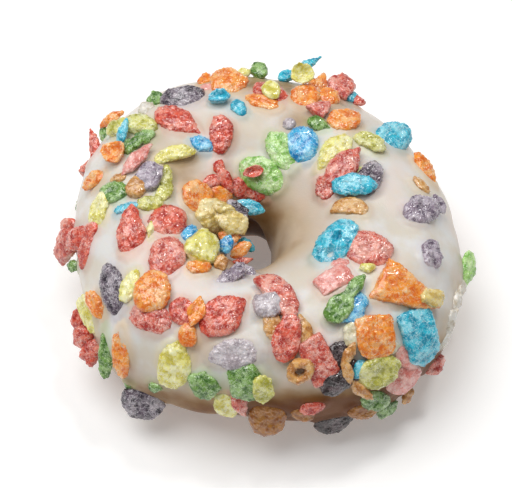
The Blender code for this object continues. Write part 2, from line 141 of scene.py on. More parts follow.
# %% Reading a place back
def ring_normal(around, across):
    step = 0.002
    along = ring_point(around + step, across) - ring_point(around - step, across)
    over = ring_point(around, across + step) - ring_point(around, across - step)
    normal = np.cross(along, over)
    return normal / np.linalg.norm(normal, axis=-1, keepdims=True)


def ring_place(points):
    """How far points stand out of the skin, and the two angles nearest to them."""
    points = np.asarray(points)
    x = points[..., 0] - RING_CENTRE[0] - HOLE_OFFSET[0]
    y = points[..., 1] - RING_CENTRE[1] - HOLE_OFFSET[1]
    around = np.arctan2(y, x)
    middle, half_width = section(around)
    rise = points[..., 2] - MIDDLE_HEIGHT
    half_height = np.where(rise > 0, CREST_HEIGHT - MIDDLE_HEIGHT, BELLY_DROP)
    sideways = np.hypot(x, y) - middle
    level = np.hypot(sideways / half_width, rise / half_height)
    out = (level - 1) / np.maximum(level, 0.01) * np.hypot(sideways, rise)
    return out, around, np.arctan2(rise / half_height, sideways / half_width)


print("outline across, mm:", [round(float(2 * sum(section(np.array(a)))) / MM, 1) for a in (0, 1.57)])

# %% [markdown]
# ## Which flakes lie where
#
# On the real doughnut no two flakes are alike, and the eye knows this one by its large
# flakes: the blue one with two pits, the orange wedge, the round cream puff at the hole.
# Strewing them all by a random rule would lose that. So each flake that shows is a row of a
# plan: its kind, the place where it is seen in the picture, its length and width in
# millimetres, the direction in which it is seen to lie (degrees from the right,
# anticlockwise), and how far the flake below lifts it. A few rows say more: bow curves a
# flake sideways like a crescent, perch is the height of one that hangs over the hole, and
# face says how far one stands up towards the viewer, where the slope alone doesn't say it.

# %% Flake plan
KINDS = ("oval", "leaf", "drop", "boat", "cup", "chip", "block", "moon", "wedge", "shield",
         "ring", "pitted", "puff", "grain")
Flake = namedtuple("Flake", "kind x y long wide lies lift bow perch face", defaults=(0.0, 0.0, None, None))
(oval, leaf, drop, boat, cup, chip, block, moon, wedge, shield,
 ring, pitted, puff, grain) = (partial(Flake, kind) for kind in KINDS)
FLAKES = {
    "red": [
        drop(179, 122, 13.0, 6.8, -29), oval(221, 134, 9.4, 5.8, 85),
        leaf(95, 148, 9.4, 2.8, 92, 0.6, bow=0.15, face=2.6), leaf(225, 179, 7.6, 3.2, -62, 0.4),
        oval(213, 181, 5.0, 3.2, 15), grain(219, 168, 4.0, 2.6, 80), oval(270, 94, 8.8, 6.6, -32),
        leaf(356, 101, 4.8, 2.8, -25), cup(254, 172, 4.6, 2.8, 15, 1.8), chip(256, 193, 6.4, 4.0, -20),
        chip(241, 189, 6.0, 4.2, -40), leaf(131, 234, 13.4, 6.8, 90, face=0.8),
        oval(169, 221, 8.6, 8.2, 30), oval(79, 238, 7.8, 5.0, 25, 1.0, face=0.9),
        oval(91, 231, 4.8, 3.8, 60), oval(76, 319, 5.2, 4.0, 70), puff(80, 338, 5.6, 5.0, 80),
        puff(93, 351, 6.0, 4.8, 60), oval(182, 311, 6.4, 5.4, -70), drop(224, 314, 11.8, 8.6, 35),
        oval(287, 338, 10.6, 6.0, 75, 0.8), oval(312, 407, 5.6, 3.6, 20),
        leaf(241, 261, 6.0, 1.7, 12, perch=25.0),
    ],
    "rose": [
        wedge(318, 108, 5.8, 5.0, 60, 0.8), chip(341, 84, 7.6, 6.4, 50, face=1.6),
        leaf(341, 169, 13.6, 6.4, 48, 0.8), chip(325, 188, 6.6, 4.8, 100),
        oval(167, 257, 10.6, 8.0, 80), chip(66, 246, 8.6, 6.8, 60, face=0.9),
        oval(61, 227, 5.4, 4.4, -45), oval(86, 250, 9.0, 3.8, 78), oval(368, 249, 10.2, 8.8, -15),
        oval(151, 318, 9.6, 6.6, -12), moon(280, 292, 12.8, 5.8, -47, 0.6),
        block(319, 360, 10.6, 6.8, -66, 0.4), oval(434, 364, 5.6, 4.8, 30),
        leaf(239, 402, 8.0, 3.8, -65),
    ],
    "pink": [
        grain(208, 89, 4.0, 2.8, 0), leaf(137, 160, 10.2, 3.8, 47, 0.9), block(334, 279, 8.6, 5.6, 25),
        chip(402, 379, 8.8, 7.2, 50), grain(340, 264, 4.6, 2.6, 10), oval(405, 358, 7.4, 4.0, -50),
    ],
    "orange": [
        chip(228, 83, 9.2, 7.6, -12, 0.5, face=1.3), puff(205, 82, 4.0, 3.4, 30),
        leaf(108, 116, 6.8, 3.6, 30, 0.3), cup(118, 156, 5.8, 5.6, 100), oval(94, 180, 6.8, 3.8, 30),
        oval(198, 197, 8.4, 7.4, -50), oval(221, 195, 5.6, 4.2, -20), oval(263, 103, 8.8, 4.4, -20),
        leaf(315, 76, 3.6, 2.4, 80), oval(305, 98, 7.4, 7.0, 30), leaf(322, 79, 7.6, 3.4, 72, face=1.6),
        chip(329, 98, 5.8, 5.2, 60, 0.4), oval(344, 120, 8.4, 6.0, 16, 0.4),
        oval(425, 170, 9.4, 4.4, -65, face=0.9), oval(229, 237, 5.0, 3.2, 0, perch=28.0),
        oval(241, 250, 5.6, 3.0, 35, perch=26.0), puff(199, 268, 5.4, 3.4, 0),
        wedge(408, 284, 16.6, 9.8, -13, 0.9), oval(96, 304, 7.4, 4.0, -58, face=0.8),
        oval(122, 351, 12.4, 4.4, 86, face=1.0), oval(153, 291, 9.6, 8.0, 80, 1.0),
        boat(197, 312, 6.8, 4.0, 75, 0.5), puff(188, 335, 5.0, 4.2, 90),
        shield(375, 337, 9.4, 8.4, -84, 1.2),
    ],
    "tan": [
        puff(137, 188, 5.4, 4.6, 60, 0.3), grain(119, 178, 4.0, 2.6, 20), moon(350, 206, 8.4, 4.4, -6),
        puff(221, 263, 3.8, 3.2, 70, perch=31.0), leaf(348, 354, 6.0, 2.6, 63, 1.2),
        leaf(347, 371, 6.4, 2.6, -72, 1.4), leaf(360, 389, 8.0, 2.8, -38, 1.2),
        grain(407, 394, 5.0, 2.6, 75), oval(274, 327, 6.8, 4.6, -70),
        leaf(304, 332, 7.8, 3.4, -80, bow=-0.1), ring(300, 370, 6.2, 5.4, 40, 1.4),
        grain(421, 186, 5.0, 2.8, -50),
    ],
    "straw": [
        puff(224, 209, 5.0, 3.0, -22, perch=31.6), puff(216, 217, 10.4, 8.0, -25, 0.5),
        chip(232, 222, 8.2, 5.8, -35, perch=30.0), puff(430, 297, 6.2, 4.0, -20, 2.2),
    ],
    "amber": [
        oval(267, 416, 10.4, 8.4, 90, face=1.2), oval(303, 414, 5.4, 3.4, -10),
        grain(366, 383, 4.4, 3.4, 60, 0.4), oval(363, 409, 6.8, 5.0, 0),
    ],
    "yellow": [
        oval(175, 154, 10.0, 3.9, 16, 0.5, bow=-0.12), leaf(243, 70, 4.8, 2.8, 10),
        oval(271, 91, 5.6, 4.6, 110, 1.1), cup(302, 76, 5.7, 4.8, 0, perch=33.0),
        drop(333, 153, 11.8, 6.2, 228), oval(99, 210, 9.2, 4.6, 76), leaf(151, 228, 5.0, 1.8, 80),
        grain(367, 267, 3.6, 2.4, 0, 0.8), puff(203, 248, 8.8, 7.6, 60, 0.9),
        oval(130, 286, 7.4, 4.2, 70), chip(89, 314, 9.6, 5.2, -60, face=0.8),
        oval(174, 366, 11.6, 7.2, 82), oval(226, 404, 7.8, 5.2, -75),
    ],
    "cream": [
        chip(355, 332, 6.6, 5.6, 60), chip(389, 348, 5.0, 3.8, 20),
    ],
    "lime": [
        puff(141, 126, 8.6, 5.6, -20), puff(119, 129, 5.4, 5.0, 0), oval(166, 178, 6.4, 3.0, 88),
        oval(164, 193, 6.0, 3.2, 58), puff(151, 204, 6.0, 3.8, 10), grain(356, 171, 4.6, 2.4, 0),
        oval(378, 371, 9.6, 8.0, 30, 0.9), oval(263, 388, 6.8, 4.8, 90, 1.6),
        oval(370, 142, 7.6, 4.8, -25, 0.3),
    ],
    "mint": [
        oval(283, 152, 11.8, 6.2, -60), oval(262, 176, 11.8, 7.8, -24, 0.5),
        drop(466, 271, 9.4, 4.6, -102, face=1.2),
    ],
    "green": [
        puff(156, 101, 4.4, 4.0, 60, 0.3), puff(259, 71, 4.6, 4.2, 80), oval(105, 135, 4.2, 2.8, 95),
        oval(144, 137, 5.2, 3.8, 30, 0.5), puff(129, 148, 4.0, 3.2, 60, 0.5),
        grain(135, 144, 5.4, 3.0, 40, 0.6), oval(114, 192, 7.0, 5.2, 5), drop(319, 124, 5.6, 4.2, -25),
        grain(74, 266, 3.4, 2.8, 0), oval(107, 351, 12.6, 3.8, 86, face=1.5),
        chip(204, 386, 7.4, 6.2, -55, 0.3), chip(247, 383, 9.6, 8.0, -60),
        oval(339, 307, 8.0, 5.2, 53, 1.2), oval(353, 288, 7.8, 3.0, 53, 1.6),
        oval(375, 400, 8.0, 5.4, -30), chip(386, 407, 5.6, 4.4, 40), grain(131, 384, 3.4, 2.6, 0),
        grain(155, 387, 3.4, 2.6, 0), grain(329, 438, 4.0, 2.4, 10),
    ],
    "blue": [
        oval(202, 144, 6.2, 3.6, -20), oval(302, 144, 8.8, 7.6, -70, 0.6), puff(190, 235, 4.6, 3.8, 50),
        puff(226, 245, 4.0, 3.4, 60, perch=30.0), chip(353, 308, 8.2, 5.4, 58, 0.4),
    ],
    "teal": [
        cup(219, 101, 5.4, 3.4, 0), oval(239, 108, 5.0, 3.6, 115), leaf(124, 134, 7.4, 2.8, 76, 1.6),
        oval(287, 76, 4.8, 3.6, 30), leaf(304, 67, 9.8, 2.6, 33, perch=30.6),
        grain(355, 90, 3.8, 3.0, 0), oval(127, 208, 6.2, 2.6, 15),
        oval(393, 137, 9.6, 8.0, 20, face=1.3), oval(353, 185, 9.8, 5.6, 2, 1.2),
        leaf(248, 207, 7.8, 4.0, -12, perch=27.5), grain(246, 245, 4.2, 3.0, -30, perch=25.2),
        pitted(334, 242, 13.2, 7.8, 51, 0.9), shield(419, 337, 12.6, 8.4, -74, 0.3),
        grain(359, 369, 4.6, 3.4, 80, 0.5),
    ],
    "purple": [
        oval(421, 210, 9.2, 7.0, 18, face=0.9), oval(438, 204, 4.8, 3.0, -62, 0.5),
        puff(430, 254, 6.8, 5.0, -85), leaf(231, 276, 7.6, 3.6, 22, 0.4),
        leaf(247, 271, 7.4, 3.0, -40, 0.6), oval(238, 273, 5.0, 4.2, 90, 0.3),
        chip(149, 177, 7.8, 6.0, 70, 0.8),
    ],
    "charcoal": [
        oval(184, 98, 10.4, 6.2, 8, face=1.3), oval(369, 178, 9.8, 5.8, 62),
        chip(236, 212, 6.8, 4.4, -35, perch=30.5), oval(113, 289, 12.0, 6.4, -72),
        oval(143, 402, 9.4, 8.4, -10, face=1.6),
    ],
    "black": [
        oval(338, 354, 6.0, 4.6, 80), puff(336, 380, 7.2, 6.0, 20),
        oval(333, 420, 9.0, 6.2, 25, face=1.2), oval(353, 372, 5.6, 4.4, 80),
    ],
    "lilac": [
        oval(234, 354, 10.8, 6.6, 3), grain(289, 124, 3.4, 3.0, 0), puff(267, 305, 6.4, 5.8, 0, 0.4),
    ],
    "sugar": [
        puff(147, 110, 4.6, 3.4, 60), leaf(456, 301, 8.0, 2.6, 68), chip(449, 321, 7.0, 3.0, 60),
        leaf(443, 341, 7.0, 2.4, 52), grain(461, 287, 3.6, 2.2, 85),
    ],
}
print("flakes in the plan:", sum(len(rows) for rows in FLAKES.values()))

# %% [markdown]
# ## From the picture to the ring
#
# A pixel only gives a line of sight. Following that line from the camera until it meets the
# ring's skin gives the flake's true place, so the flake is right from every side and not only
# from the front. A flake seen beyond the outline stands on the nearest skin, on its edge.

# %% Lines of sight
SEARCH_REACH, SEARCH_STEP, SEARCH_STEPS = 60.0 * MM, 0.25 * MM, 480
LEAST_STEEP, MOST_SLANT = 0.05, 1.5


def seen_place(x, y, perch=None):
    """Where the line of sight through a pixel meets the ring, passes nearest to it, or has
    come down to the height of a perch."""
    aim = VIEW_TARGET + view_right * (x - TARGET_PIXEL_X) / PIXELS_PER_METRE
    aim -= view_up * (y - TARGET_PIXEL_Y) / PIXELS_PER_METRE
    sight = np.array((aim - eye).normalized())
    reach = VIEW_DISTANCE - SEARCH_REACH + np.arange(SEARCH_STEPS) * SEARCH_STEP
    points = np.array(eye) + reach[:, None] * sight
    out, around, across = ring_place(points)
    met = np.flatnonzero(out <= 0 if perch is None else points[:, 2] <= perch * MM)
    i = met[0] if len(met) else int(np.argmin(out))
    return out[i], around[i], across[i], points[i]


def flake_axes(normal, lies, turn_to_view):
    """The flake's length, width and outward directions, from the way it is seen to lie."""
    outward = (Vector(normal) - view_look * turn_to_view).normalized()
    seen = view_right * math.cos(lies) + view_up * math.sin(lies)
    steep = view_look.dot(outward)
    slant = -seen.dot(outward) / steep if abs(steep) > LEAST_STEEP else 0.0
    length = seen + view_look * max(-MOST_SLANT, min(MOST_SLANT, slant))
    length = (length - outward * length.dot(outward)).normalized()
    return np.array([length, outward.cross(length), outward])


middle_place = seen_place(TARGET_PIXEL_X, TARGET_PIXEL_Y)[3]
print("seen in the middle of the picture, mm:", [round(float(v) / MM, 1) for v in middle_place])

# %% [markdown]
# ## Working in edit mode
#
# The flakes are shaped the way soft clay is: a few corners are picked and pushed, and their
# neighbours follow less and less. Sculpting brushes would do it too, but they can't be
# repeated from a script. The helpers pick, push, and apply a modifier at once, so that the
# corners can be read straight afterwards.

# %% Helpers for edit mode
def select_none():
    if bpy.context.object and bpy.context.object.mode != "OBJECT":
        bpy.ops.object.mode_set(mode="OBJECT")
    bpy.ops.object.select_all(action="DESELECT")


def pick(test):
    """In edit mode, selects the vertices for which the test of their place holds."""
    mesh = bmesh.from_edit_mesh(bpy.context.object.data)
    bpy.context.tool_settings.mesh_select_mode = (True, False, False)
    for vert in mesh.verts:
        vert.select = test(vert.co)
    mesh.select_flush_mode()
    bmesh.update_edit_mesh(bpy.context.object.data)


def press(test, move, reach):
    """Pushes the picked vertices along move, and their neighbours less and less."""
    pick(test)
    bpy.ops.transform.translate(value=move, use_proportional_edit=True,
                                proportional_edit_falloff="SMOOTH", proportional_size=reach)


def apply_modifier(piece, kind, **settings):
    modifier = piece.modifiers.new(kind.lower(), kind)
    for name, value in settings.items():
        setattr(modifier, name, value)
    bpy.context.view_layer.objects.active = piece
    bpy.ops.object.modifier_apply(modifier=modifier.name)


# %% [markdown]
# ## Flake blanks
#
# A puffed grain of rice, pressed and toasted, comes out as a thin lumpy pillow. A few kinds
# keep turning up: plain ovals, pointed leaves, curled cups, broken chips, round puffs and
# flakes with a burst blister. Modelling 200 flakes one by one would be slow, and one shape
# for all would show. So each kind is modelled once, in edit mode, as a blank of length 2,
# and every flake is later its own copy, stretched, bent and roughened differently.

# %% Sizes of the blanks
BLANK_FLATNESS = 0.30
GRIDS = {"large": 0.045, "middle": 0.068, "small": 0.12}
BROKEN_SIDES = {
    "wedge": ((46, 0.35), (166, 0.77), (270, 0.84), (303, 0.92)),
    "shield": ((180, 0.80), (88, 0.84), (272, 0.84)),
    "block": ((8, 0.80), (98, 0.72), (184, 0.84), (272, 0.70)),
    "moon": ((270, 0.22),),
    "chip": ((20, 0.88), (95, 0.84), (170, 0.92), (250, 0.86), (310, 0.90)),
}
START_RADIUS = {"wedge": 1.4, "shield": 1.1, "block": 1.25, "chip": 1.1}
START_FLATNESS = {"puff": 0.62, "grain": 0.55}
EVENED, BROKEN_EVENED, RING_EVENED, PITTED_EVENED = 0.9, 1.6, 0.1, 0.15
PUFF_LOBES, LOBE_RADIUS, LOBE_OUT = 7, 0.75, 0.20
PIT_TOP, PIT_PICKED, PIT_REACH = 0.27, 0.12, 0.18
print("sides broken off:", {kind: len(sides) for kind, sides in BROKEN_SIDES.items()})


# %% Shaping a blank
def start_blank(flatness, radius):
    """A flattened ball, left open in edit mode with everything selected."""
    select_none()
    bpy.ops.mesh.primitive_ico_sphere_add(subdivisions=4, radius=radius)
    bpy.ops.object.mode_set(mode="EDIT")
    bpy.ops.mesh.select_all(action="SELECT")
    bpy.ops.transform.resize(value=(1.0, 1.0, flatness / radius))


def narrow_end(end, share):
    pick(lambda co: co.x * end > 0.85)
    bpy.ops.transform.resize(value=(1.0, share, 1.0), center_override=(end, 0, 0),
                             use_proportional_edit=True, proportional_size=1.1,
                             proportional_edit_falloff="SMOOTH")


def break_side(degrees, distance):
    """Breaks a straight side off the blank, at a distance from its middle."""
    angle = math.radians(degrees)
    outward = (math.cos(angle), math.sin(angle), 0.0)
    bpy.ops.mesh.select_all(action="SELECT")
    bpy.ops.mesh.bisect(plane_co=[distance * v for v in outward], plane_no=outward,
                        clear_outer=True, use_fill=True)


def sink_pit(x, y, depth):
    """A burst blister: a steep pit in the upper side."""
    top = Vector((x, y, PIT_TOP))
    press(lambda co: (co - top).length < PIT_PICKED, (0, 0, -depth), PIT_REACH)


def finish_blank(grid, evened, hollowed=False):
    """Evens out the blank's mesh and softens what was broken; returns its corners and faces."""
    bpy.ops.object.mode_set(mode="OBJECT")
    piece = bpy.context.object
    apply_modifier(piece, "REMESH", mode="VOXEL", voxel_size=grid)
    apply_modifier(piece, "SMOOTH", factor=0.5, iterations=round(evened / grid))
    corners = np.array([vert.co[:] for vert in piece.data.vertices])
    low, high = corners[:, :2].min(axis=0), corners[:, :2].max(axis=0)
    corners[:, :2] = (corners[:, :2] - (low + high) / 2) / ((high - low) / 2)
    if hollowed:
        corners[:, 2] -= corners[:, 2].min() + BLANK_FLATNESS
    faces = np.array([face.vertices[:] for face in piece.data.polygons])
    bpy.data.objects.remove(piece, do_unlink=True)
    return corners, faces


# %% Make the blanks
def make_blank(kind, grid):
    if kind == "ring":
        select_none()
        bpy.ops.mesh.primitive_torus_add(major_segments=48, minor_segments=24,
                                         major_radius=0.62, minor_radius=0.36)
        return finish_blank(grid, RING_EVENED)
    start_blank(START_FLATNESS.get(kind, BLANK_FLATNESS), START_RADIUS.get(kind, 1.0))
    for degrees, distance in BROKEN_SIDES.get(kind, ()):
        break_side(degrees, distance)
    if kind == "puff":
        for i in range(PUFF_LOBES):
            angle = math.radians(360 * i / PUFF_LOBES + 12 * (-1) ** i)
            spot = Vector((math.cos(angle) * LOBE_RADIUS, math.sin(angle) * LOBE_RADIUS, 0.3))
            press(lambda co: (co - spot).length < 0.2, [v * LOBE_OUT for v in spot], 0.45)
    if kind in ("leaf", "boat"):
        narrow_end(-1, 0.6)
        narrow_end(1, 0.6)
    if kind == "drop":
        narrow_end(1, 0.40)
    if kind in ("cup", "boat"):
        press(lambda co: co.xy.length < 0.25, (0, 0, -0.50 if kind == "cup" else -0.30), 0.9)
    if kind == "oval":
        press(lambda co: co.xy.length < 0.2 and co.z > 0, (0, 0, -0.10), 0.6)
    if kind == "pitted":
        sink_pit(-0.38, -0.24, 0.52)
        sink_pit(0.17, -0.07, 0.40)
        return finish_blank(grid, PITTED_EVENED)
    evened = BROKEN_EVENED if kind in BROKEN_SIDES else EVENED
    return finish_blank(grid, evened, hollowed=kind in ("cup", "boat"))


blanks = {(kind, size): make_blank(kind, grid) for kind in KINDS for size, grid in GRIDS.items()}
print("corners of a large blank:", {kind: len(blanks[kind, "large"][0]) for kind in KINDS})

# %% [markdown]
# ## Laying the flakes
#
# On the doughnut each flake sank a little into the wet icing, sagged over the ring's curve
# and set at its own tilt. Each copy of a blank is therefore stretched to its real size, bent
# over the ring, turned the way it is seen to lie and moved to its place. The copies of one
# colour become one piece, because they share a finish.

# %% Lay one flake
FLAKE_THICKNESS = 2.3 * MM
FLAKE_STAND = 0.55 * MM
LARGE_LENGTH, MIDDLE_LENGTH = 8.8 * MM, 5.6 * MM
PUFF_THICKNESS_SHARE = 0.56
BEND_RADIUS, SAG = 26.0 * MM, (0.6, 1.2)
TWIST, CURL, CUP_CURL = (-0.06, 0.06), (-0.03, 0.14), 0.5
LEAST_TURN_TO_VIEW, STEEP_TURN_TO_VIEW, PERCHED_TURN_TO_VIEW = 0.25, 1.5, 4.0
STANDING_SHARE, BEYOND_SHARE, LEAST_FACING, MOST_LEAN = 0.22, 0.35, 0.5, 1.1
OUTLINE_LOBES = ((2, 0.036), (3, 0.028), (5, 0.020), (7, 0.014), (11, 0.010))
DRAWN_KINDS, DRAWN_LOBE_SHARE = ("wedge", "shield", "pitted", "block", "moon", "drop"), 0.4

laid = {colour: [] for colour in FLAKES}


def lay_flake(colour, kind, long, wide, centre, axes, dice, bow=0.0):
    """Adds one flake's corners and faces to the pieces of its colour."""
    size = "large" if long > LARGE_LENGTH else "middle" if long > MIDDLE_LENGTH else "small"
    corners, faces = blanks[kind, size]
    x, y, z = corners.T
    thick = FLAKE_THICKNESS * min(1.25, 0.55 + wide / (11 * MM)) / (2 * BLANK_FLATNESS)
    if kind in ("puff", "grain"):
        thick = wide * PUFF_THICKNESS_SHARE
    if kind not in DRAWN_KINDS and dice.random() < 0.5:
        x, y = -x, -y
    angle = np.arctan2(y, x)
    grow = 1 + sum(depth * np.sin(lobes * angle + dice.uniform(0, 6.3)) for lobes, depth in OUTLINE_LOBES)
    if kind in DRAWN_KINDS:
        grow = 1 + (grow - 1) * DRAWN_LOBE_SHARE
    x, y, z = x * grow * long / 2, y * grow * wide / 2, z * thick
    y = y + bow * (x ** 2 * 4 / long - long / 3)
    z = z - (x ** 2 + y ** 2) / (2 * BEND_RADIUS) * dice.uniform(*SAG)
    z = z + dice.uniform(*TWIST) * x + dice.uniform(*CURL) * np.abs(y)
    if kind == "cup":
        z = z + CUP_CURL * y ** 2 / wide
    laid[colour].append((centre + np.stack([x, y, z], axis=1) @ axes, faces))


# %% Lay the plan
for colour, rows in FLAKES.items():
    for flake in rows:
        out, around, across, point = seen_place(flake.x, flake.y, flake.perch)
        normal = ring_normal(around, across)
        facing = max(0.0, -float(normal @ np.array(view_look)))
        turn = LEAST_TURN_TO_VIEW + STEEP_TURN_TO_VIEW * (1 - facing) ** 2
        turn = PERCHED_TURN_TO_VIEW if flake.perch is not None else flake.face or turn
        axes = flake_axes(normal, math.radians(flake.lies), turn)
        if flake.perch is None:
            point = point - normal * max(0.0, out - BEYOND_SHARE * flake.wide * MM)
            lean = math.acos(min(1.0, float(axes[2] @ normal)))
            nearer = STANDING_SHARE * flake.wide * MM * math.tan(min(lean, MOST_LEAN))
            nearer += (FLAKE_STAND + flake.lift * MM) / max(facing, LEAST_FACING)
            point = point - np.array(view_look) * nearer
        dice = random.Random(flake.x * 1000 + flake.y)
        size = (flake.long * MM, flake.wide * MM)
        lay_flake(colour, flake.kind, *size, point, axes, dice, flake.bow)
planned = sum(len(copies) for copies in laid.values())
print("flakes laid:", planned)

# %% [markdown]
# The far side of the doughnut isn't in the picture. There the flakes are strewn by the rule
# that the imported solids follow, and with the same seed: the largest first, no two too close,
# each lying flat or slightly tipped. The solids' rule also draws a number for each corner of
# a flake, so as many are drawn here, and every flake lies on its solid. A second pass puts
# in the small ones that the solids leave out. What would show over the outline is skipped.

# %% Strew the far side
FAR_SEED, FAR_AROUND, FAR_ACROSS = 11, (12, 172), (-22, 30)
FAR_SPACING, FAR_TRIES, FAR_TILT = 0.46, 60, 0.25
FAR_KINDS = ("oval", "oval", "leaf", "cup", "chip")
FAR_COLOURS = ("red", "red", "orange", "yellow", "green", "teal", "purple", "pink", "lime", "blue")
SOLID_FEW, SOLID_MANY, SOLID_SIMPLE_LENGTH = 14, 26, 7.7
LEAST_TURNED_AWAY, GRAIN_LENGTH = 0.30, 4.5

dice = random.Random(FAR_SEED)
kept = []


def strew(count, lengths, drawn_per_corner):
    sizes = sorted((dice.uniform(*lengths) for _ in range(count)), reverse=True)
    for long in sizes:
        for _ in range(FAR_TRIES):
            around, across = (math.radians(dice.uniform(*span)) for span in (FAR_AROUND, FAR_ACROSS))
            point = ring_point(around, across)
            gaps = [np.linalg.norm(point - other) / (long + size) for other, size in kept]
            if min(gaps, default=1.0) > FAR_SPACING * MM:
                break
        else:
            continue
        kept.append((point, long))
        normal = Vector(ring_normal(around, across))
        sideways = Vector((-math.sin(around), math.cos(around), 0))
        heading = Matrix.Rotation(dice.uniform(0, math.pi), 3, normal) @ sideways
        outward = Matrix.Rotation(dice.uniform(-FAR_TILT, FAR_TILT), 3, heading) @ normal
        kind = dice.choice(FAR_KINDS)
        wide = long * dice.uniform(0.45, 0.8)
        corners = SOLID_FEW if long < SOLID_SIMPLE_LENGTH else SOLID_MANY
        for _ in range(drawn_per_corner * corners + 1):
            dice.random()
        colour = dice.choice(FAR_COLOURS)
        if normal.dot(view_look) > LEAST_TURNED_AWAY:
            axes = np.array([heading, outward.cross(heading).normalized(), outward])
            shape_dice = random.Random(len(kept))
            centre = point + np.array(normal) * FLAKE_STAND
            kind = kind if long > GRAIN_LENGTH else "grain"
            lay_flake(colour, kind, long * MM, wide * MM, centre, axes, shape_dice)


strew(28, (5.0, 12.0), 2)
strew(22, (2.8, 5.0), 0)
print("flakes strewn on the far side:", sum(len(copies) for copies in laid.values()) - planned)

# %% [markdown]
# A flake that touches nothing would hang in the air when the doughnut is seen from the side,
# however well it covers its place in the picture. So each flake that is clear of the icing
# is measured against its neighbours, and those with a gap are printed with their place and gap.

# %% Check that the flakes touch
TOUCH_GAP, NEIGHBOURHOOD = 0.45 * MM, 9.0 * MM
TESTED_EVERY, AGAINST_EVERY = 20, 4

copies = [corners for group in laid.values() for corners, _ in group]
every_corner = np.concatenate([corners[::AGAINST_EVERY] for corners in copies])
owner = np.repeat(np.arange(len(copies)), [len(corners[::AGAINST_EVERY]) for corners in copies])
loose = []
for i, corners in enumerate(copies):
    if ring_place(corners)[0].min() > TOUCH_GAP:
        middle = corners.mean(axis=0)
        near = (np.abs(every_corner - middle).max(axis=1) < NEIGHBOURHOOD) & (owner != i)
        others, tested = every_corner[near], corners[::TESTED_EVERY]
        gap = min(np.linalg.norm(others - corner, axis=1).min() for corner in tested)
        if gap > TOUCH_GAP:
            loose.append([round(float(v) / MM, 1) for v in (*middle, gap)])
print("flakes that touch nothing, place and gap, mm:", loose)

# %% [markdown]
# ## Pieces of one colour
#
# Puffed rice is a foam of tiny bubbles under a sugar glaze. Bumps alone would leave smooth
# outlines, so the lumps and blisters are real relief: two Displace modifiers, one with broad
# clouds and one with small cells, applied to each colour's joined mesh.

# %% Join and roughen
LUMP_SIZE, LUMP_DEPTH = 2.2 * MM, 0.65 * MM
BLISTER_SIZE, BLISTER_DEPTH = 0.9 * MM, 0.5 * MM


def mesh_piece(name, corners, faces):
    data = bpy.data.meshes.new(name)
    data.from_pydata(corners.tolist(), [], faces.tolist())
    piece = bpy.data.objects.new(name, data)
    bpy.context.scene.collection.objects.link(piece)
    return piece


def noise_texture(kind, size):
    texture = bpy.data.textures.new(kind.lower(), kind)
    texture.noise_scale = size
    if kind == "VORONOI":
        texture.distance_metric = "DISTANCE"
        texture.weight_1, texture.weight_2 = -1.0, 1.0
        texture.noise_intensity = 1.2
    return texture


lumps, blisters = noise_texture("CLOUDS", LUMP_SIZE), noise_texture("VORONOI", BLISTER_SIZE)
flake_pieces = {}
for colour, copies in laid.items():
    starts = np.cumsum([0] + [len(corners) for corners, _ in copies])
    corners = np.concatenate([corners for corners, _ in copies])
    faces = np.concatenate([faces + start for (_, faces), start in zip(copies, starts)])
    piece = mesh_piece("icing_drips" if colour == "sugar" else f"flakes_{colour}", corners, faces)
    select_none()
    for texture, depth, level in ((lumps, LUMP_DEPTH, 0.5), (blisters, BLISTER_DEPTH, 0.3)):
        apply_modifier(piece, "DISPLACE", texture=texture, texture_coords="LOCAL",
                       strength=depth, mid_level=level)
    piece.data.shade_smooth()
    flake_pieces[colour] = piece
print("flake triangles:", {c: 2 * len(p.data.polygons) for c, p in flake_pieces.items()})

# %% [markdown]
# ## The dough
#
# Fried dough has a smooth brown skin, darker where it met the oil, with a paler band round
# its middle where it floated. Only its foot and the wall of the hole show below the icing.
# A torus could be pushed about, but its corners would bunch up in the hole. So it starts as a
# flat grid, whose corners are moved onto the ring's formula, which rolls it up and closes it.

# %% Rolling up a sheet
DOUGH_DEPTH = 2.6 * MM
DOUGH_TURNS, DOUGH_SECTION = 144, 72
SEAM_GAP = 0.002 * MM
WRINKLE_DEPTH = 0.25 * MM


def flat_sheet(name, turns, sides):
    """A flat grid to be rolled up, with each corner's angle around and its share across."""
    select_none()
    bpy.ops.mesh.primitive_grid_add(x_subdivisions=turns, y_subdivisions=sides, size=2.0)
    piece = bpy.context.object
    piece.name = piece.data.name = name
    flat = np.array([vert.co[:] for vert in piece.data.vertices])
    return piece, math.pi * (flat[:, 0] + 1), (flat[:, 1] + 1) / 2


def set_corners(piece, corners):
    piece.data.vertices.foreach_set("co", np.asarray(corners, dtype=np.float32).ravel())
    piece.data.update()


def close_sheet(piece):
    """Joins the rolled sheet's edges and turns its faces outwards."""
    select_none()
    bpy.context.view_layer.objects.active = piece
    piece.select_set(True)
    bpy.ops.object.mode_set(mode="EDIT")
    bpy.ops.mesh.select_all(action="SELECT")
    bpy.ops.mesh.remove_doubles(threshold=SEAM_GAP)
    bpy.ops.mesh.normals_make_consistent(inside=False)
    bpy.ops.object.mode_set(mode="OBJECT")
    piece.data.shade_smooth()


# %% Dough
dough, around, share = flat_sheet("dough_ring", DOUGH_TURNS, DOUGH_SECTION)
across = math.tau * share
wrinkle = WRINKLE_DEPTH * np.sin(9 * around + 3 * np.sin(2 * around)) * np.cos(2 * across)
set_corners(dough, ring_point(around, across, DOUGH_DEPTH + wrinkle * (np.sin(across) < 0)))
close_sheet(dough)
print("dough corners:", len(dough.data.vertices))

# %% [markdown]
# ## The icing
#
# The icing was dipped, so it covers the ring like a second skin, thins out towards its edges
# and ends in a wavy line. The dough could be copied and thickened, but then the icing's edge
# would follow the mesh. So it too starts as a flat grid: most of its width becomes the
# outside, from the low edge to the edge in the hole, and the rest folds back as the lining.

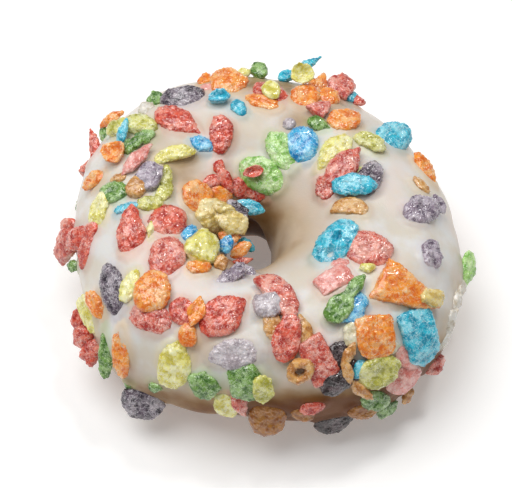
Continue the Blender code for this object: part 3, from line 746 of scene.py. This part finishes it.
# %% Icing sheet
ICING_TURNS, ICING_SECTION, ICING_OUTSIDE = 400, 190, 0.82
ICING_DEPTH, ICING_EDGE_DEPTH = 2.2 * MM, 0.9 * MM
LOW_EDGE, HOLE_EDGE, EDGE_TAPER = math.radians(-27), math.radians(197), math.radians(16)

around_steps = np.linspace(0, math.tau, 721)
low_edge = LOW_EDGE + math.radians(5) * np.sin(3 * around_steps + 1.0)
low_edge += math.radians(2.5) * np.sin(7 * around_steps)
hole_edge = HOLE_EDGE + math.radians(6) * np.sin(2 * around_steps + 0.6)

icing, around, share = flat_sheet("icing_coat", ICING_TURNS, ICING_SECTION)
low = np.interp(around, around_steps, low_edge)
inner = np.interp(around, around_steps, hole_edge)
outside = (share < ICING_OUTSIDE) | (share > 0.999)
run = np.minimum(share / ICING_OUTSIDE, (1 - share) / (1 - ICING_OUTSIDE))
across = low + (inner - low) * run
from_edge = np.minimum(across - low, inner - across)
thinned = np.clip(1 - from_edge / EDGE_TAPER, 0, 1) ** 2
depth = np.where(outside, ICING_EDGE_DEPTH * thinned, ICING_DEPTH)
skin = ring_point(around, across, depth)
normals = ring_normal(around, across)
print("icing corners on the outside:", int(outside.sum()))

# %% [markdown]
# Wet icing climbs a little way up each flake that is pressed into it, and the flake's dye
# bleeds into it. The same tint also stands for the shade round each flake, so it is partly dye
# and partly painted shade. Painting that round 200 flakes would take hours. Here the flakes' own
# corners that lie at the skin go into a search tree, and each corner of the icing asks the tree
# for the nearest one: how far off it is, and of which colour.

# %% Climb, dye tint and painted shade
CLIMB_HEIGHT, CLIMB_REACH = 0.55 * MM, 0.9 * MM
TINT_REACH, TINT_STRENGTH = 1.3 * MM, 0.50
FOOT_DEPTH = 0.7 * MM
DYE_AND_SHADE_TINTS = {"red": (0.98, 0.60, 0.52), "rose": (0.98, 0.64, 0.58),
               "pink": (1.0, 0.74, 0.66), "orange": (1.0, 0.72, 0.42),
               "tan": (0.92, 0.76, 0.54), "yellow": (0.98, 0.88, 0.50), "lime": (0.84, 0.90, 0.52),
               "green": (0.66, 0.86, 0.50), "blue": (0.56, 0.80, 0.98), "teal": (0.50, 0.80, 0.90),
               "purple": (0.74, 0.68, 0.78), "lilac": (0.90, 0.86, 0.90), "cream": (0.96, 0.94, 0.86),
               "mint": (0.80, 0.92, 0.66), "straw": (0.92, 0.84, 0.56), "amber": (0.80, 0.55, 0.32),
               "charcoal": (0.66, 0.58, 0.66), "black": (0.50, 0.42, 0.46), "sugar": (1.0, 1.0, 1.0)}

tree_points, tree_tints = [], []
for colour, copies in laid.items():
    for corners, _ in copies:
        out = ring_place(corners)[0]
        foot = corners[np.abs(out) < FOOT_DEPTH]
        tree_points.extend(foot.tolist())
        tree_tints.extend([DYE_AND_SHADE_TINTS[colour]] * len(foot))
tree = KDTree(len(tree_points))
for i, point in enumerate(tree_points):
    tree.insert(point, i)
tree.balance()
print("corners of flakes at the icing's skin:", len(tree_points))

distance = np.full(len(skin), 1.0)
tint = np.ones((len(skin), 4))
for i in np.flatnonzero(outside):
    _, index, gap = tree.find(skin[i])
    distance[i] = gap
    tint[i, :3] = tree_tints[index]
# Round each flake the icing takes its tint: partly dye that bled, partly painted shade; dark flakes darken
# it most.
dye_and_shade = np.exp(-(distance / TINT_REACH) ** 2)[:, None]
tint[:, :3] = 1 + (tint[:, :3] - 1) * TINT_STRENGTH * dye_and_shade
climb = CLIMB_HEIGHT * np.exp(-(distance / CLIMB_REACH) ** 2)

# %% [markdown]
# The rest of the skin isn't even either. It has shallow dents a fingertip wide, it breaks off
# in a lip high up in the back of the hole, and it gathered on the right wall of the hole,
# which bulges. Each of these is a push along the skin's normal, so they simply add up.

# %% Dents, lip and bulge
DENT_SIZE, DENT_DEPTH = 9.0 * MM, 0.9 * MM
LIP_AT, LIP_WIDTH, LIP_STEP, LIP_DROP = math.radians(166), math.radians(5), 0.9 * MM, math.radians(30)
BULGE_DEPTH, BULGE_MIDDLE, BULGE_SPREAD = 1.2 * MM, math.radians(-5), 55
BULGE_FROM, BULGE_OVER = math.radians(125), math.radians(45)


def hump(angle, middle, spread):
    """1 where the angle is at the middle, fading to 0 past the spread, both in degrees."""
    return np.exp(-((angle - math.radians(middle)) / math.radians(spread)) ** 2)


dents = np.array([mathutils_noise.noise(Vector(point) / DENT_SIZE) for point in skin]) * DENT_DEPTH
lip = LIP_AT + math.radians(4) * np.sin(3 * around + 0.5) + LIP_DROP * (1 - hump(around, 105, 48))
past_lip = np.clip((across - lip) / LIP_WIDTH + 0.5, 0, 1)
past_lip = past_lip ** 2 * (3 - 2 * past_lip)
from_bulge = (around - BULGE_MIDDLE + math.pi) % math.tau - math.pi
bulging = hump(from_bulge, 0, BULGE_SPREAD)
down_hole = np.clip((across - BULGE_FROM) / BULGE_OVER, 0, 1)
rise = (climb + dents * (1 - thinned)) * (1 - past_lip) - LIP_STEP * past_lip
rise = rise + BULGE_DEPTH * bulging * down_hole ** 2 * (3 - 2 * down_hole)
skin = skin + normals * (rise * outside)[:, None]
set_corners(icing, skin)
print("skin pushed by, mm:", [round(float(v) / MM, 2) for v in (rise.min(), rise.max())])

# %% [markdown]
# Where the icing is thin, the brown crust shines through it, and the same number paints shade
# as well. The finish has to know where, so each corner carries a number for it: most at the low
# edge in front and some down the hole, partly thin icing and partly painted shade, painted shade
# over the back, and a little painted shade in five spots, in a dip and between the flakes. The
# tints round the flakes, partly dye that bled and partly painted shade, and the bare place past
# the lip are kept on the mesh in the same way.

# %% Thin places and painted shade
THIN_SHADE_BELOW, THIN_SHADE_LOW, MORE_IN_FRONT, LESS_ON_LEFT = math.radians(40), 0.42, 0.62, 0.45
THIN_SHADE_HOLE_FROM, THIN_SHADE_HOLE_OVER, THIN_SHADE_IN_HOLE = math.radians(102), math.radians(62), 0.60
SOONER_ON_BULGE, SHORTER_ON_BULGE, LESS_ON_BULGE = 0.24, 0.26, 0.19
SHADE_OVER_BACK = 0.50
ShadeSpot = namedtuple("ShadeSpot", "x y reach weight")
SHADE_SPOTS = (ShadeSpot(183, 168, 7.0, 0.46), ShadeSpot(158, 140, 6.0, 0.34), ShadeSpot(240, 136, 9.0, 0.26),
              ShadeSpot(300, 122, 6.0, 0.46), ShadeSpot(203, 346, 6.0, 0.30))


def keep_on_mesh(piece, name, kind, values):
    layer = piece.data.attributes.new(name, kind, "POINT")
    layer.data.foreach_set("value" if kind == "FLOAT" else "color", values.ravel())


# Painted shade and thin icing: low in front the icing turns brown, most at the front right and least on
# the brightly lit left.
thin_and_shade_low = np.clip((THIN_SHADE_BELOW - across) / THIN_SHADE_BELOW, 0, 1)
thin_and_shade_low = thin_and_shade_low * (THIN_SHADE_LOW + MORE_IN_FRONT * hump(around, 292, 42))
thin_and_shade_low = thin_and_shade_low * (1 - LESS_ON_LEFT * hump(around, 180, 40))
# Down the hole: thin icing and painted shade, less on the bulging right wall.
thin_and_shade_hole = across - THIN_SHADE_HOLE_FROM + SOONER_ON_BULGE * bulging
thin_and_shade_hole = np.clip(thin_and_shade_hole / (THIN_SHADE_HOLE_OVER - SHORTER_ON_BULGE * bulging), 0, 1)
thin_and_shade_hole = thin_and_shade_hole * (THIN_SHADE_IN_HOLE - LESS_ON_BULGE * bulging)
# Painted shade over the back of the ring, where less light falls.
shade_over_back = SHADE_OVER_BACK * hump(around, 80, 40) * hump(across, 52, 32)
thin_and_shade = np.maximum(np.maximum(thin_and_shade_low, thin_and_shade_hole), shade_over_back)
# Painted shade in five spots: a dip in the icing and gaps between the flakes.
for spot in SHADE_SPOTS:
    away = np.linalg.norm(skin - seen_place(spot.x, spot.y)[3], axis=1) / (spot.reach * MM)
    thin_and_shade = np.maximum(thin_and_shade, spot.weight * np.exp(-away ** 2))
keep_on_mesh(icing, "dye_and_shade", "FLOAT_COLOR", tint)
keep_on_mesh(icing, "thin_and_shade", "FLOAT", thin_and_shade)
keep_on_mesh(icing, "bare", "FLOAT", past_lip)
close_sheet(icing)
print("icing corners:", len(icing.data.vertices))

# %% [markdown]
# ## Finishes by formula
#
# Sugar, crust and puffed rice have no pattern that a picture could be laid along, and a
# picture would stretch over the bumps. So every finish is mixed from noise, which is read at
# each point's own place on the piece, in real millimetres: its grain has the true size, from
# any side. The helpers make one node, mix two colours, and fade from 0 to 1 over a stretch.

# %% Material helpers
def new_material(name, constants):
    made = bpy.data.materials.new(name)
    made.use_nodes = True
    shader = made.node_tree.nodes["Principled BSDF"]
    for socket, value in constants.items():
        shader.inputs[socket].default_value = value
    return made, made.node_tree, shader


def node(tree, kind, inputs=None, **settings):
    made = tree.nodes.new(kind)
    for name, value in settings.items():
        setattr(made, name, value)
    for name, value in (inputs or {}).items():
        if isinstance(value, bpy.types.NodeSocket):
            tree.links.new(value, made.inputs[name])
        else:
            made.inputs[name].default_value = value
    return made


def mix(tree, factor, first, second, blend="MIX"):
    made = tree.nodes.new("ShaderNodeMix")
    made.data_type, made.blend_type = "RGBA", blend
    for socket, value in ((made.inputs[0], factor), (made.inputs[6], first), (made.inputs[7], second)):
        if isinstance(value, bpy.types.NodeSocket):
            tree.links.new(value, socket)
        else:
            socket.default_value = value if isinstance(value, float) else (*value, 1.0)
    return made.outputs[2]


def ramp(tree, value, low, high):
    """0 below low, 1 above high, smooth between."""
    made = node(tree, "ShaderNodeMapRange", {"Value": value, "From Min": low, "From Max": high},
                interpolation_type="SMOOTHSTEP")
    return made.outputs["Result"]


def times(tree, value, factor):
    return node(tree, "ShaderNodeMath", {0: value, 1: factor}, operation="MULTIPLY").outputs[0]


def noise(tree, place, size, detail=3.0):
    """Noise with features of about the given size."""
    made = node(tree, "ShaderNodeTexNoise", {"Vector": place, "Scale": 1 / size, "Detail": detail})
    return made.outputs["Fac"]


def add_bumps(tree, shader, height, strength, distance):
    made = node(tree, "ShaderNodeBump", {"Height": height, "Strength": strength, "Distance": distance})
    tree.links.new(made.outputs["Normal"], shader.inputs["Normal"])


# %% [markdown]
# ## The fried crust
#
# Frying oil browns the skin unevenly, in patches a fingertip wide, and leaves fine blisters.
# The band round the middle floats above the oil and stays pale. Painting the band by hand
# would work too, but it lies at one height all round, so the height alone can tell it.

# %% Dough material
material, tree, shader = new_material("fried_crust", {"Roughness": 0.62})
place = node(tree, "ShaderNodeTexCoord").outputs["Object"]
patches = ramp(tree, noise(tree, place, 9 * MM), 0.35, 0.65)
colour = mix(tree, patches, (0.40, 0.17, 0.045), (0.55, 0.27, 0.09))
height = node(tree, "ShaderNodeSeparateXYZ", {"Vector": place}).outputs["Z"]
colour = mix(tree, ramp(tree, height, 4 * MM, 12 * MM), colour, (0.66, 0.42, 0.20))
fine = noise(tree, place, 0.9 * MM, 4.0)
colour = mix(tree, ramp(tree, fine, 0.3, 0.8), colour, (0.30, 0.12, 0.03))
tree.links.new(colour, shader.inputs["Base Color"])
add_bumps(tree, shader, fine, 0.5, 0.3 * MM)
dough.data.materials.append(material)
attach(dough, "root")
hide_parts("dough")
print("nodes of the crust:", len(tree.nodes))

# %% [markdown]
# ## The sugar icing
#
# Sugar icing is cream-white where it is thick, with faint warm clouds, and lets light in a
# little, so it looks soft rather than painted. Low at the front and down the hole it turns tan,
# then brown, partly where it ran thin and the crust shines through and partly as painted shade.
# Round the flakes it takes their tints, partly dye that bled and partly painted shade. The mesh
# already carries where it is thin and where shade is painted, where it ends and which tint is
# near, so the finish only has to mix those with the clouds.

# %% Icing material
material, tree, shader = new_material("sugar_icing", {
    "Roughness": 0.31, "Specular IOR Level": 0.25, "Subsurface Weight": 0.25,
    "Subsurface Radius": (1.0, 0.7, 0.45), "Subsurface Scale": 2.0 * MM})
place = node(tree, "ShaderNodeTexCoord").outputs["Object"]
thin_and_shade_value = node(tree, "ShaderNodeAttribute", attribute_name="thin_and_shade").outputs["Fac"]
dye_and_shade_value = node(tree, "ShaderNodeAttribute", attribute_name="dye_and_shade").outputs["Color"]
clouds = noise(tree, place, 7 * MM)
uneven = node(tree, "ShaderNodeMath", {0: times(tree, clouds, 0.8), 1: 0.6}, operation="ADD").outputs[0]
uneven = times(tree, uneven, thin_and_shade_value)
cream = mix(tree, ramp(tree, clouds, 0.36, 0.64), (0.70, 0.645, 0.56), (0.76, 0.757, 0.742))
blush = ramp(tree, noise(tree, place, 13 * MM), 0.48, 0.66)
cream = mix(tree, times(tree, blush, 0.7), cream, (0.80, 0.70, 0.64))
# Tan, then dark brown where the mesh number is high: crust through thin icing, and painted shade.
colour = mix(tree, ramp(tree, uneven, 0.02, 0.75), cream, (0.40, 0.225, 0.052))
colour = mix(tree, ramp(tree, uneven, 0.36, 0.80), colour, (0.17, 0.055, 0.006))
bare_value = node(tree, "ShaderNodeAttribute", attribute_name="bare").outputs["Fac"]
colour = mix(tree, bare_value, colour, (0.14, 0.058, 0.012))
# Multiplied by the tint near each flake: dye that bled, and painted shade round the flake.
colour = mix(tree, 1.0, colour, dye_and_shade_value, "MULTIPLY")
tree.links.new(colour, shader.inputs["Base Color"])
add_bumps(tree, shader, noise(tree, place, 0.35 * MM, 2.0), 0.18, 0.2 * MM)
icing.data.materials.append(material)
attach(icing, "root")
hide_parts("icing")
print("nodes of the icing's finish:", len(tree.nodes))

# %% [markdown]
# ## Glazed puffed rice
#
# Each flake is a foam of tiny bubbles, dyed and then glazed with sugar. The dye is deepest
# between the bubbles, the walls of the bubbles are pale, and crumbs of dry sugar lie on top
# like frost. A single mottled colour looked like stone. So broad clouds set the depth of the
# dye, winding creases draw the bubble walls, and a hard clear coat over soft bumps gives
# glints. Small sharp glints and white specks are also painted into the colour, partly sugar
# crumbs and partly painted highlights. One recipe serves every colour: three paints and a
# share of frost, which also scales the painted glints.

# %% Dyes
FLAKE_PAINTS = {
    "red": ((0.44, 0.020, 0.012), (0.76, 0.100, 0.050), (0.97, 0.47, 0.36), 1.0, "red_flakes"),
    "rose": ((0.44, 0.034, 0.026), (0.73, 0.140, 0.086), (0.96, 0.56, 0.46), 1.1, "red_flakes"),
    "pink": ((0.66, 0.17, 0.14), (0.84, 0.33, 0.28), (0.98, 0.68, 0.62), 1.0, "red_flakes"),
    "orange": ((0.76, 0.15, 0.004), (0.95, 0.32, 0.024), (0.99, 0.68, 0.34), 1.0, "orange_flakes"),
    "tan": ((0.46, 0.17, 0.03), (0.72, 0.37, 0.10), (0.94, 0.72, 0.44), 0.7, "orange_flakes"),
    "amber": ((0.30, 0.090, 0.006), (0.45, 0.170, 0.016), (0.62, 0.36, 0.11), 0.3, "orange_flakes"),
    "yellow": ((0.62, 0.54, 0.055), (0.91, 0.85, 0.26), (0.99, 0.98, 0.72), 1.0, "yellow_flakes"),
    "straw": ((0.60, 0.40, 0.08), (0.82, 0.64, 0.22), (0.95, 0.89, 0.62), 0.8, "yellow_flakes"),
    "cream": ((0.64, 0.58, 0.34), (0.80, 0.76, 0.54), (0.94, 0.93, 0.82), 1.0, "yellow_flakes"),
    "lime": ((0.36, 0.35, 0.03), (0.67, 0.65, 0.13), (0.91, 0.91, 0.54), 1.0, "green_flakes"),
    "mint": ((0.18, 0.46, 0.06), (0.40, 0.70, 0.18), (0.82, 0.95, 0.62), 1.0, "green_flakes"),
    "green": ((0.040, 0.14, 0.008), (0.15, 0.32, 0.036), (0.60, 0.84, 0.40), 0.9, "green_flakes"),
    "blue": ((0.002, 0.21, 0.54), (0.015, 0.43, 0.78), (0.54, 0.90, 1.00), 1.0, "blue_flakes"),
    "teal": ((0.002, 0.29, 0.45), (0.025, 0.54, 0.72), (0.52, 0.92, 1.00), 1.0, "blue_flakes"),
    "purple": ((0.12, 0.085, 0.13), (0.31, 0.24, 0.31), (0.86, 0.79, 0.86), 0.9, "purple_flakes"),
    "charcoal": ((0.028, 0.018, 0.032), (0.125, 0.090, 0.125), (0.80, 0.73, 0.79), 0.9, "purple_flakes"),
    "black": ((0.010, 0.003, 0.004), (0.038, 0.016, 0.018), (0.38, 0.30, 0.32), 0.5, "purple_flakes"),
    "lilac": ((0.36, 0.30, 0.33), (0.56, 0.49, 0.52), (0.86, 0.81, 0.84), 1.0, "purple_flakes"),
    "sugar": ((0.52, 0.45, 0.34), (0.74, 0.69, 0.60), (0.90, 0.88, 0.84), 1.0, "icing"),
}


# %% Puffed rice finish
def creases(tree, place, size, width):
    """1 along the winding lines where a noise passes its middle value, 0 between them."""
    wave = noise(tree, place, size, 2.0)
    away = node(tree, "ShaderNodeMath", {0: wave, 1: 0.5}, operation="SUBTRACT").outputs[0]
    away = node(tree, "ShaderNodeMath", {0: away}, operation="ABSOLUTE").outputs[0]
    return ramp(tree, away, width, 0.0)


def flake_material(name, deep, middle, pale, frost):
    material, tree, shader = new_material(name, {
        "Roughness": 0.38, "Specular IOR Level": 0.30, "Coat Weight": 0.9, "Coat Roughness": 0.07,
        "Subsurface Weight": 0.18, "Subsurface Radius": (1.0, 0.8, 0.6), "Subsurface Scale": 0.8 * MM})
    place = node(tree, "ShaderNodeTexCoord").outputs["Object"]
    # Near-white for the sugar crumbs and the painted highlights.
    sugar_and_glint_white = [0.6 * part + 0.4 for part in pale]
    cloudy = noise(tree, place, 1.5 * MM, 3.0)
    cells = noise(tree, place, 0.85 * MM, 2.5)
    patchy = noise(tree, place, 3.0 * MM, 2.0)
    fine = noise(tree, place, 0.45 * MM, 2.0)
    colour = mix(tree, ramp(tree, cloudy, 0.36, 0.60), deep, middle)
    colour = mix(tree, times(tree, ramp(tree, patchy, 0.50, 0.68), 0.45 * frost), colour, pale)
    colour = mix(tree, times(tree, ramp(tree, cells, 0.56, 0.70), 0.34 * frost), colour, pale)
    swirls = creases(tree, place, 1.3 * MM, 0.030)
    colour = mix(tree, times(tree, swirls, 0.46 * frost), colour, pale)
    # Painted highlights: small glints painted into the colour along fine creases, in patches.
    painted_glints = times(tree, creases(tree, place, 0.75 * MM, 0.035), ramp(tree, patchy, 0.36, 0.54))
    colour = mix(tree, times(tree, painted_glints, 0.75 * frost), colour, sugar_and_glint_white)
    # Fine white specks: partly sugar crumbs, partly painted highlights.
    colour = mix(tree, times(tree, ramp(tree, fine, 0.65, 0.71), 0.5 * frost), colour, sugar_and_glint_white)
    tree.links.new(colour, shader.inputs["Base Color"])
    height = node(tree, "ShaderNodeMath", {0: times(tree, swirls, 0.3), 1: cells}, operation="ADD")
    add_bumps(tree, shader, height.outputs[0], 0.55, 0.3 * MM)
    return material


# %% Dress the flakes
for colour, piece in flake_pieces.items():
    *paint, slot = FLAKE_PAINTS[colour]
    piece.data.materials.append(flake_material(f"{colour}_puffed_rice", *paint))
    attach(piece, "root")
    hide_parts("icing")
print("finishes of flakes:", len(flake_pieces))

# %% [markdown]
# ## Floor and light
#
# The doughnut was photographed on white, in soft light from above with a brighter patch from
# behind on the right. One large round lamp gives the soft light and a small one the glints.
# A bright room fills the shadows, and the floor glows faintly so that it comes out white.

# %% Floor and light
FLOOR_GLOW = 0.20

select_none()
bpy.ops.mesh.primitive_plane_add(size=4.0, location=(0, 0, 0))
floor = bpy.context.object
floor.name = "pale_floor"
floor.data.materials.append(new_material("pale_floor", {
    "Base Color": (0.90, 0.90, 0.90, 1), "Roughness": 0.9,
    "Emission Color": (1.0, 1.0, 1.0, 1), "Emission Strength": FLOOR_GLOW})[0])


def soft_light(name, place, size, power, colour):
    bpy.ops.object.light_add(type="AREA", location=place)
    light = bpy.context.object
    light.name = name
    light.data.shape, light.data.size = "DISK", size
    light.data.energy, light.data.color = power, colour
    light.rotation_euler = (Vector((0, 0, 0.015)) - Vector(place)).to_track_quat("-Z", "Y").to_euler()


soft_light("ceiling_light", (-0.22, 0.06, 0.72), 0.60, 3.85, (1.0, 1.0, 1.0))
soft_light("window_light", (0.20, 0.22, 0.64), 0.12, 1.1, (1.0, 0.99, 0.97))
world = bpy.data.worlds.new("soft_room")
world.use_nodes = True
world.node_tree.nodes["Background"].inputs["Color"].default_value = (1.0, 0.99, 0.97, 1)
world.node_tree.nodes["Background"].inputs["Strength"].default_value = 0.27
bpy.context.scene.world = world
bpy.context.scene.view_settings.view_transform = "Standard"
